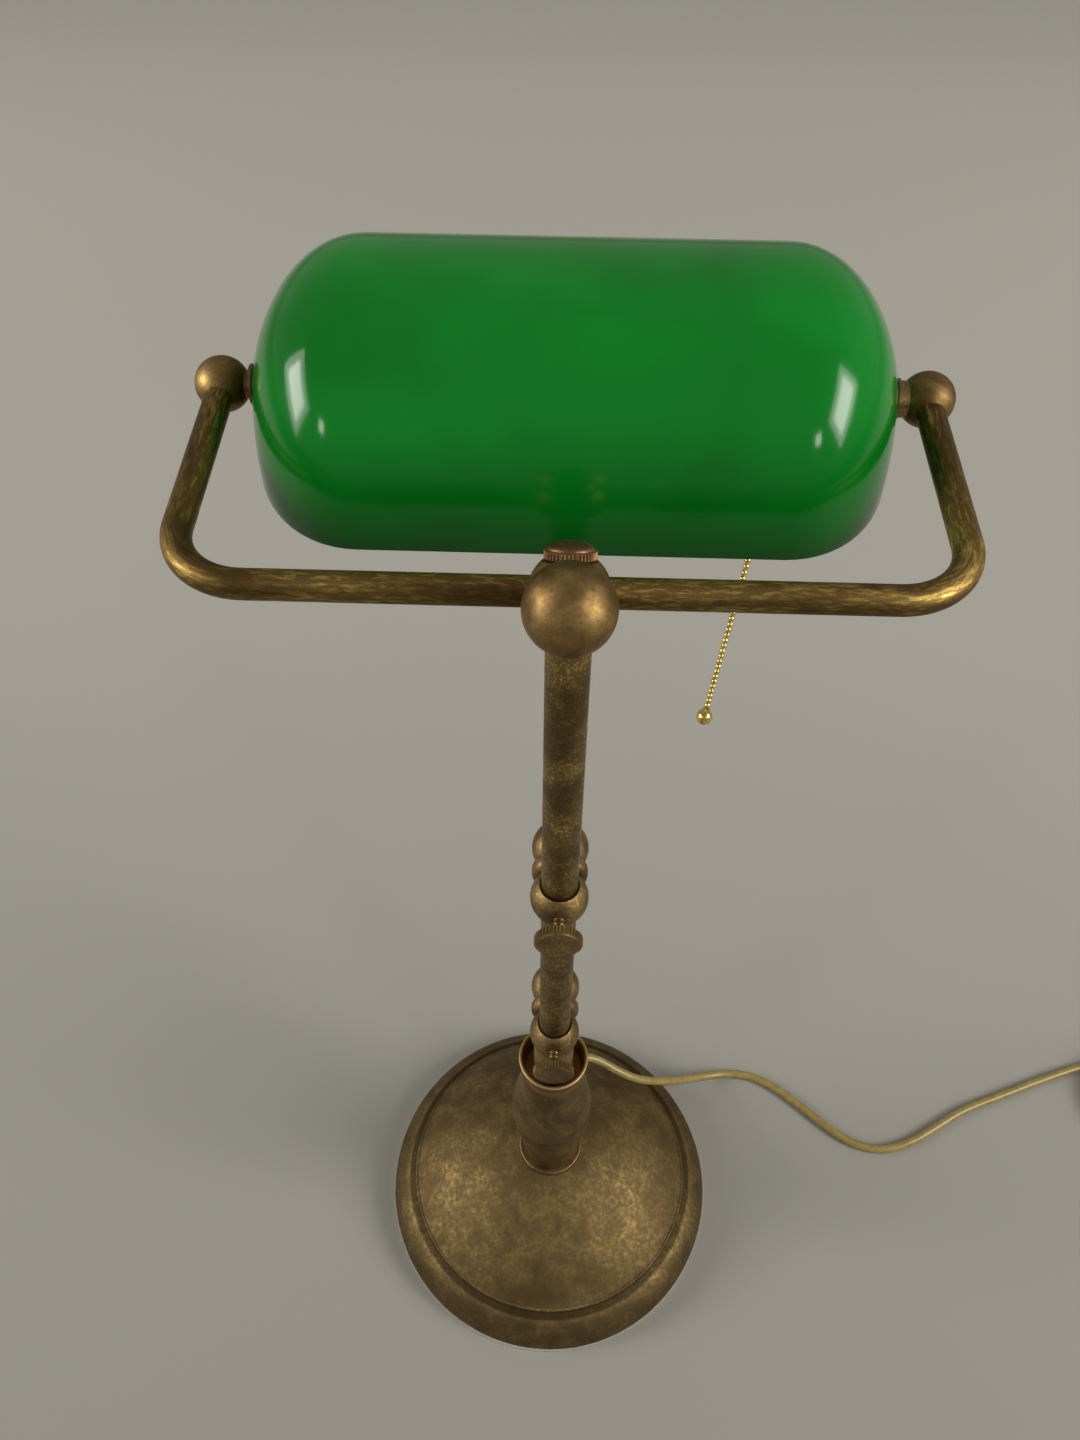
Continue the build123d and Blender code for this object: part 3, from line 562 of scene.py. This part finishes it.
def makeSleeve():
    # A tapered strain relief: a cone with round ribs set along it.
    tree, given, keys = newTree("ribbedSleeve",
                                {"Length": "Float", "Tip": "Float", "Root": "Float", "Ribs": "Int",
                                 "Rib Radius": "Float", "Place": "Vector", "Turn": "Vector"})
    inner = {}
    for label in ("Tip", "Root"):
        inner[label] = addNode(tree, "ShaderNodeMath",
                               {0: given.outputs[label], 1: given.outputs["Rib Radius"]},
                               operation="SUBTRACT").outputs[0]
    cone = addNode(tree, "GeometryNodeMeshCone", {"Vertices": 40, "Radius Top": inner["Root"],
                                                  "Radius Bottom": inner["Tip"],
                                                  "Depth": given.outputs["Length"]})
    ribCount = addNode(tree, "ShaderNodeMath", {0: given.outputs["Ribs"], 1: 1.0}, operation="SUBTRACT")
    gap = addNode(tree, "ShaderNodeMath", {0: given.outputs["Length"], 1: ribCount.outputs[0]},
                  operation="DIVIDE")
    gap = addNode(tree, "ShaderNodeMath", {0: gap.outputs[0], 1: 0.92}, operation="MULTIPLY")
    step = addNode(tree, "ShaderNodeCombineXYZ", {"Z": gap.outputs[0]})
    start = addNode(tree, "ShaderNodeMath", {0: given.outputs["Length"], 1: 0.04}, operation="MULTIPLY")
    startPlace = addNode(tree, "ShaderNodeCombineXYZ", {"Z": start.outputs[0]})
    line = addNode(tree, "GeometryNodeMeshLine", {"Count": given.outputs["Ribs"], "Offset": step.outputs[0],
                                                  "Start Location": startPlace.outputs[0]})
    ring = addNode(tree, "GeometryNodeCurvePrimitiveCircle", {"Resolution": 32, "Radius": 1.0})
    section = addNode(tree, "GeometryNodeCurvePrimitiveCircle", {"Resolution": 8,
                                                                 "Radius": given.outputs["Rib Radius"]})
    share = addNode(tree, "ShaderNodeMath", {0: addNode(tree, "GeometryNodeInputIndex").outputs[0],
                                             1: ribCount.outputs[0]}, operation="DIVIDE")
    size = addNode(tree, "ShaderNodeMapRange", {"Value": share.outputs[0], "To Min": inner["Tip"],
                                                "To Max": inner["Root"]})
    rings = addNode(tree, "GeometryNodeInstanceOnPoints",
                    {"Points": line.outputs[0], "Instance": ring.outputs[0], "Scale": size.outputs[0]})
    real = addNode(tree, "GeometryNodeRealizeInstances", {0: rings.outputs[0]})
    ribs = addNode(tree, "GeometryNodeCurveToMesh",
                   {"Curve": real.outputs[0], "Profile Curve": section.outputs[0]})
    whole = joinMeshes(tree, cone.outputs["Mesh"], ribs.outputs[0])
    placed = addNode(tree, "GeometryNodeTransform", {0: whole, "Translation": given.outputs["Place"],
                                                     "Rotation": given.outputs["Turn"]})
    closeTree(tree, placed.outputs[0], goldSheath)
    way = Vector(sleeve["way"]).normalized()
    turn = way.to_track_quat("Z", "Y").to_euler()
    return pieceFromTree("plugSleeve", tree, keys, {
        "Length": sleeve["length"] * mm, "Tip": sleeve["tip"] * mm, "Root": sleeve["root"] * mm,
        "Ribs": sleeve["ribs"], "Rib Radius": 0.5 * mm, "Place": tuple(inMetres(*sleeve["start"])),
        "Turn": tuple(turn)})


tie = {
    "at": 222.0,              # degrees round the coil
    "width": 7.0,
    "thick": 0.7,
    "across": 7.4,            # half sizes of the bundle that it goes round
    "high": 6.7,
    "middle": 7.4,
    "clear": 0.02,            # above the desk
    "bow": 0.105,
    "sides": 48,
    "columns": 7,
}


def makeTie():
    # A soft strap round the bundle of turns.
    columns, sides = tie["columns"], tie["sides"]
    points, faces = [], []
    for index in range(sides):
        angle = math.tau * index / sides - math.pi / 3
        for outer in (0, 1):
            grow = tie["thick"] * outer
            reach = coil["radius"] + (tie["across"] + grow) * math.cos(angle)
            height = tie["middle"] + (tie["high"] + grow) * math.sin(angle)
            height = max(height, tie["clear"] + tie["thick"] * (1 - outer))
            for column in range(columns):
                share = column / (columns - 1)
                swell = tie["bow"] * outer * (1 - (2 * share - 1) ** 2)
                turn = math.radians(tie["at"]) + (share - 0.5) * tie["width"] / coil["radius"]
                out = reach + swell * math.cos(angle)
                points.append(inMetres(coil["centre"][0] + out * math.cos(turn),
                                       coil["centre"][1] + out * math.sin(turn), height))
    for index in range(sides):
        here, after = 2 * columns * index, 2 * columns * ((index + 1) % sides)
        for column in range(columns - 1):
            for start in (0, columns):
                a, b = here + start + column, after + start + column
                faces.append((a, b, b + 1, a + 1) if start else (a, a + 1, b + 1, b))
        for column in (0, columns - 1):
            a, b = here + column, after + column
            edge = (a, b, b + columns, a + columns)
            faces.append(edge if column else edge[::-1])
    return meshFrom("coilTie", points, faces, [blackRubber], recalculate=True)


cord = makeCord()
plugSleeve = makeSleeve()
coilTie = makeTie()
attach(cord, "base")
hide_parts("mains_cord", "cord_coil", "plug_tail")
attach(plugSleeve, "base")
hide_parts("plug_sleeve")
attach(coilTie, "base")
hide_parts("coil_tie")
print("cord laid")


# ---- glass shade ----
shadeShape = {
    "length": 226.0,
    "width": 130.0,
    "rise": 49.0,
    "drop": 20.0,
    "wall": 3.0,
    "squareness": 2.11,            # 2 is an ellipse
    "endLength": (42.0, 39.5),     # rounding of the closed ends along the shade, at the lip and at the top
    "endWidth": 60.0,              # rounding across the shade
    "endHeight": 52.7,
    "lipRound": 1.1,
    "sectionSteps": 76,
    "lengthSteps": 40,
    "endSteps": 16,
    "capSteps": 9,
}
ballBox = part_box("right_side_ball")
ballRadius = 9.9 * mm
pivot = Vector((0, ballBox[1].y - ballRadius, ballBox[1].z - ballRadius))


def shadeOutline():
    # The cross-section from lip to lip, as (y, height above the lip, length of the end's rounding there).
    half, tall = shadeShape["width"] / 2, shadeShape["rise"] + shadeShape["drop"]
    power = 2 / shadeShape["squareness"]
    atLip, atTop = shadeShape["endLength"]
    rows = []
    for step in range(shadeShape["sectionSteps"] + 1):
        angle = math.pi * step / shadeShape["sectionSteps"]
        y = math.copysign(abs(math.cos(angle)) ** power, math.cos(angle)) * half
        up = abs(math.sin(angle)) ** power * tall
        rows.append((y, up, atLip + (atTop - atLip) * up / tall))
    return rows


def shadeEnd(side, outline):
    # Sections from where one end starts to curve in, to its closed tip.
    half, drop = shadeShape["length"] / 2, shadeShape["drop"]
    lostWidth = 2 * shadeShape["endWidth"] / shadeShape["width"]
    lostHeight = shadeShape["endHeight"] / (shadeShape["rise"] + drop)
    end = []
    for step in range(shadeShape["endSteps"] + 1):
        angle = math.pi / 2 * step / shadeShape["endSteps"]
        narrower = 1 - lostWidth * (1 - math.cos(angle))
        lower = 1 - lostHeight * (1 - math.cos(angle))
        end.append([(side * (half - length * (1 - math.sin(angle))), y * narrower, up * lower - drop)
                    for y, up, length in outline])
    last = end[-1]
    for step in range(1, shadeShape["capSteps"] + 1):
        share = 1 - step / shadeShape["capSteps"]
        end.append([(x, y * share, (z + drop) * share - drop) for x, y, z in last])
    return end


def makeShade():
    half, drop = shadeShape["length"] / 2, shadeShape["drop"]
    outline = shadeOutline()
    rings = shadeEnd(-1, outline)[::-1]
    for step in range(1, shadeShape["lengthSteps"]):
        share = 2 * step / shadeShape["lengthSteps"] - 1
        rings.append([(share * (half - length), y, up - drop) for y, up, length in outline])
    rings += shadeEnd(1, outline)
    points = [pivot + inMetres(*spot) for ring in rings for spot in ring]
    count = len(outline)
    faces = []
    for row in range(len(rings) - 1):
        for a in range(row * count, row * count + count - 1):
            faces.append((a, a + count, a + count + 1, a + 1))
    shade = meshFrom("shadeGlass", points, faces, [emeraldGlass, opalGlass, lipGlass])
    outward = sum(face.normal.z * face.area for face in shade.data.polygons)
    if outward < 0:
        shade.data.flip_normals()
    wall = shade.modifiers.new("Wall", "SOLIDIFY")
    wall.thickness = shadeShape["wall"] * mm
    wall.offset = -1
    wall.material_offset = 1
    wall.material_offset_rim = 2
    lip = shade.modifiers.new("Lip", "BEVEL")
    lip.width = shadeShape["lipRound"] * mm
    lip.segments = 3
    lip.limit_method = "ANGLE"
    lip.angle_limit = math.radians(50)
    return shade


shade = makeShade()
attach(shade, "shade")
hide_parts("shade_glass")
print("shade made")


# ---- yoke ----
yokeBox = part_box("yoke_tube")
yoke = {
    "radius": 5.0,
    "span": 251.0,
    "bend": 25.0,
    "arm": 98.5,
    "rise": 3.5,              # degrees
    "intoBall": 6.0,
}
barPlace = Vector((0, yokeBox[0].y, yokeBox[0].z)) + inMetres(0, yoke["radius"], yoke["radius"])


def makeYoke():
    # Three straight runs, rounded into each other, with a round tube drawn along them.
    tree, given, keys = newTree("bentTube",
                                {"Left End": "Vector", "Left Corner": "Vector", "Right Corner": "Vector",
                                 "Right End": "Vector", "Bend": "Float", "Radius": "Float"})
    line = addNode(tree, "GeometryNodeMeshLine", {"Count": 4, "Offset": (0.01, 0, 0)})
    pick = addNode(tree, "GeometryNodeIndexSwitch", data_type="VECTOR")
    while len(pick.index_switch_items) < 4:
        pick.index_switch_items.new()
    tree.links.new(addNode(tree, "GeometryNodeInputIndex").outputs[0], pick.inputs[0])
    for index, label in enumerate(("Left End", "Left Corner", "Right Corner", "Right End")):
        tree.links.new(given.outputs[label], pick.inputs[index + 1])
    corners = addNode(tree, "GeometryNodeSetPosition", {0: line.outputs[0], "Position": pick.outputs[0]})
    runs = addNode(tree, "GeometryNodeMeshToCurve", {0: corners.outputs[0]})
    path = addNode(tree, "GeometryNodeFilletCurve", {0: runs.outputs[0], "Count": 28,
                                                     "Radius": given.outputs["Bend"]}, mode="POLY")
    path = addNode(tree, "GeometryNodeResampleCurve", {0: path.outputs[0], "Length": 0.0022}, mode="LENGTH")
    grip = tree.nodes.new("GeometryNodeCaptureAttribute")
    grip.domain = "POINT"
    grip.capture_items.new("VECTOR", "middle")
    grip.capture_items.new("FLOAT", "distance")
    tree.links.new(path.outputs[0], grip.inputs["Geometry"])
    tree.links.new(addNode(tree, "GeometryNodeInputPosition").outputs[0], grip.inputs["middle"])
    tree.links.new(addNode(tree, "GeometryNodeSplineParameter").outputs["Length"], grip.inputs["distance"])
    section = addNode(tree, "GeometryNodeCurvePrimitiveCircle",
                      {"Resolution": 40, "Radius": given.outputs["Radius"]})
    tube = addNode(tree, "GeometryNodeCurveToMesh", {"Curve": grip.outputs["Geometry"],
                                                     "Profile Curve": section.outputs[0], "Fill Caps": True})
    here = addNode(tree, "GeometryNodeInputPosition")
    offset = addNode(tree, "ShaderNodeVectorMath", {0: here.outputs[0], 1: grip.outputs["middle"]},
                     operation="SUBTRACT")
    kept = addNode(tree, "GeometryNodeStoreNamedAttribute", {0: tube.outputs[0], "Name": "tubeOffset",
                                                             "Value": offset.outputs[0]},
                   data_type="FLOAT_VECTOR", domain="POINT")
    kept = addNode(tree, "GeometryNodeStoreNamedAttribute", {0: kept.outputs[0], "Name": "tubeLength",
                                                             "Value": grip.outputs["distance"]},
                   data_type="FLOAT", domain="POINT")
    closeTree(tree, kept.outputs[0], yokeBrass)
    rise = math.radians(yoke["rise"])

    def yokePoint(side, out):
        return tuple(barPlace + inMetres(side * yoke["span"] / 2, out * math.cos(rise), out * math.sin(rise)))

    end = yoke["arm"] - yoke["intoBall"]
    return pieceFromTree("yokeTube", tree, keys, {
        "Left End": yokePoint(-1, end), "Left Corner": yokePoint(-1, 0), "Right Corner": yokePoint(1, 0),
        "Right End": yokePoint(1, end), "Bend": yoke["bend"] * mm, "Radius": yoke["radius"] * mm})


yokeTube = makeYoke()
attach(yokeTube, "yoke")
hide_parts("yoke_tube")
print("yoke made:", len(yokeTube.data.polygons), "faces")


# ---- knurled screws ----
thumbscrew = {
    "Head Radius": 9.2, "Head Width": 4.2, "Crown": 0.35, "Tooth": 0.44, "Teeth": 42,
    "Shank Radius": 2.5, "Shank Length": 10.5, "Thread Pitch": 1.1,
}
capScrew = {
    "Head Radius": 8.2, "Head Width": 3.1, "Crown": 2.6, "Tooth": 0.42, "Teeth": 42,
    "Shank Radius": 2.5, "Shank Length": 4.7, "Thread Pitch": 1.1,
}
capAxis = Vector((0, math.sin(math.radians(31.5)), math.cos(math.radians(31.5))))
capLow = 10.0


def screwTree():
    # Along +Z: a shank with its thread below zero, and the knurled head from zero up.
    floats = ("Head Radius", "Head Width", "Crown", "Tooth", "Shank Radius", "Shank Length", "Thread Pitch")
    sockets = {label: "Float" for label in floats}
    sockets.update({"Teeth": "Int", "Place": "Vector", "Turn": "Vector", "Finish": "Material"})
    tree, given, keys = newTree("knurledScrew", sockets)

    def value(operation, first, second):
        return addNode(tree, "ShaderNodeMath", {0: first, 1: second}, operation=operation).outputs[0]

    def upBy(height):
        return addNode(tree, "ShaderNodeCombineXYZ", {"Z": height}).outputs[0]

    radius, width = given.outputs["Head Radius"], given.outputs["Head Width"]
    tooth = given.outputs["Tooth"]
    core = value("SUBTRACT", radius, tooth)
    bevel = value("MULTIPLY", width, 0.13)
    trimmed = value("SUBTRACT", width, value("MULTIPLY", bevel, 2.0))
    middle = value("MULTIPLY", width, 0.5)
    disc = addNode(tree, "GeometryNodeMeshCylinder", {"Vertices": 96, "Radius": core, "Depth": trimmed})
    disc = addNode(tree, "GeometryNodeTransform", {0: disc.outputs["Mesh"], "Translation": upBy(middle)})
    parts = [disc.outputs[0]]
    for sign in (-1.0, 1.0):          # the chamfered rims
        cone = addNode(tree, "GeometryNodeMeshCone", {
            "Vertices": 96, "Depth": bevel,
            "Radius Top": value("SUBTRACT", core, bevel) if sign > 0 else core,
            "Radius Bottom": core if sign > 0 else value("SUBTRACT", core, bevel)})
        height = value("SUBTRACT", width, bevel) if sign > 0 else 0.0
        parts.append(addNode(tree, "GeometryNodeTransform", {0: cone.outputs["Mesh"],
                                                             "Translation": upBy(height)}).outputs[0])
    dome = addNode(tree, "GeometryNodeMeshUVSphere", {"Segments": 64, "Rings": 24, "Radius": 1.0})
    domeRadius = value("SUBTRACT", core, bevel)
    domeSize = addNode(tree, "ShaderNodeCombineXYZ",
                       {"X": domeRadius, "Y": domeRadius, "Z": given.outputs["Crown"]})
    dome = addNode(tree, "GeometryNodeTransform", {0: dome.outputs["Mesh"], "Translation": upBy(width),
                                                   "Scale": domeSize.outputs[0]})
    parts.append(dome.outputs[0])
    ring = addNode(tree, "GeometryNodeMeshCircle", {"Vertices": given.outputs["Teeth"], "Radius": core})
    ridge = addNode(tree, "GeometryNodeMeshCylinder", {"Vertices": 4, "Radius": tooth, "Depth": trimmed},
                    fill_type="NGON")
    step = value("DIVIDE", math.tau, given.outputs["Teeth"])
    facing = addNode(tree, "ShaderNodeCombineXYZ", {
        "Z": value("MULTIPLY", addNode(tree, "GeometryNodeInputIndex").outputs[0], step)})
    knurl = addNode(tree, "GeometryNodeInstanceOnPoints", {"Points": ring.outputs[0],
                                                           "Instance": ridge.outputs["Mesh"],
                                                           "Rotation": facing.outputs[0]})
    knurl = addNode(tree, "GeometryNodeTransform", {0: knurl.outputs[0], "Translation": upBy(middle)})
    parts.append(knurl.outputs[0])
    root = value("SUBTRACT", given.outputs["Shank Radius"], 0.0003)
    shank = addNode(tree, "GeometryNodeMeshCylinder", {"Vertices": 32, "Radius": root,
                                                       "Depth": given.outputs["Shank Length"]})
    shankMiddle = value("MULTIPLY", given.outputs["Shank Length"], -0.5)
    shank = addNode(tree, "GeometryNodeTransform",
                    {0: shank.outputs["Mesh"], "Translation": upBy(shankMiddle)})
    parts.append(shank.outputs[0])
    turns = value("DIVIDE", given.outputs["Shank Length"], given.outputs["Thread Pitch"])
    thread = addNode(tree, "GeometryNodeCurveSpiral",
                     {"Resolution": 20, "Rotations": turns, "Start Radius": root, "End Radius": root,
                      "Height": given.outputs["Shank Length"]})
    threadSection = addNode(tree, "GeometryNodeCurvePrimitiveCircle", {"Resolution": 6, "Radius": 0.0003})
    thread = addNode(tree, "GeometryNodeCurveToMesh", {"Curve": thread.outputs[0],
                                                       "Profile Curve": threadSection.outputs[0],
                                                       "Fill Caps": True})
    thread = addNode(tree, "GeometryNodeTransform", {
        0: thread.outputs[0], "Translation": upBy(value("MULTIPLY", given.outputs["Shank Length"], -1.0))})
    parts.append(thread.outputs[0])
    placed = addNode(tree, "GeometryNodeTransform", {0: joinMeshes(tree, *parts),
                                                     "Translation": given.outputs["Place"],
                                                     "Rotation": given.outputs["Turn"]})
    closeTree(tree, placed.outputs[0], given.outputs["Finish"])
    return tree, keys


def makeScrew(name, tree, keys, sizes, place, axis, finish):
    values = {label: value if label == "Teeth" else value * mm for label, value in sizes.items()}
    values["Place"] = tuple(place)
    values["Turn"] = tuple(axis.to_track_quat("Z", "Y").to_euler())
    values["Finish"] = finish
    screw = pieceFromTree(name, tree, keys, values)
    screw.data.set_sharp_from_angle(angle=math.radians(35))
    return screw


screwNodes, screwKeys = screwTree()
for nodeName, body, label in (("lower_thumbscrew", "lower_screw", "lowerThumbscrew"),
                              ("upper_thumbscrew", "upper_screw", "upperThumbscrew")):
    low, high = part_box(nodeName)
    inside = Vector((0, low.y + (thumbscrew["Head Width"] + thumbscrew["Crown"]) * mm, (low.z + high.z) / 2))
    screw = makeScrew(label, screwNodes, screwKeys, thumbscrew, inside, Vector((0, -1, 0)),
                      screwBrass)
    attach(screw, body)
    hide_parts(nodeName)
headScrew = makeScrew("capScrew", screwNodes, screwKeys, capScrew, barPlace + capAxis * capLow * mm, capAxis,
                      copperBrass)
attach(headScrew, "cap_screw")
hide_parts("head_screw")
print("screws made")


# ---- pull chain ----
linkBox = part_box("pull_link")
chain = {"bead": 1.42, "pitch": 3.3, "wire": 0.42, "length": 144.0, "lean": 3.8, "gap": 0.1, "firstBead": 1.3}


def makeChain():
    tree, given, keys = newTree("beadChain",
                                {"Bead": "Float", "Wire": "Float", "Count": "Int", "Start": "Vector",
                                 "Step": "Vector", "Turn": "Vector", "Gap": "Float"})
    line = addNode(tree, "GeometryNodeMeshLine",
                   {"Count": given.outputs["Count"], "Offset": given.outputs["Step"],
                    "Start Location": given.outputs["Start"]})
    bead = addNode(tree, "GeometryNodeMeshUVSphere",
                   {"Segments": 12, "Rings": 7, "Radius": given.outputs["Bead"]})
    wire = addNode(tree, "GeometryNodeMeshCylinder", {"Vertices": 6, "Radius": given.outputs["Wire"],
                                                      "Depth": given.outputs["Gap"]})
    both = joinMeshes(tree, bead.outputs["Mesh"], wire.outputs["Mesh"])
    beads = addNode(tree, "GeometryNodeInstanceOnPoints", {"Points": line.outputs[0], "Instance": both,
                                                           "Rotation": given.outputs["Turn"]})
    closeTree(tree, beads.outputs[0], polishedBrass)
    lean = math.radians(chain["lean"])
    down = Vector((-math.sin(lean), 0, -math.cos(lean)))
    top = Vector(((linkBox[0].x + linkBox[1].x) / 2, (linkBox[0].y + linkBox[1].y) / 2, linkBox[0].z))
    start = top + down * (chain["gap"] + chain["firstBead"]) * mm
    count = int((chain["length"] - chain["firstBead"]) / chain["pitch"])
    return pieceFromTree("pullChain", tree, keys, {
        "Bead": chain["bead"] * mm, "Wire": chain["wire"] * mm, "Count": count, "Start": tuple(start),
        "Step": tuple(down * chain["pitch"] * mm), "Turn": tuple(down.to_track_quat("Z", "Y").to_euler()),
        "Gap": chain["pitch"] * 2 * mm})


pullChain = makeChain()
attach(pullChain, "chain")
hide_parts("pull_chain")
print("pull chain made")
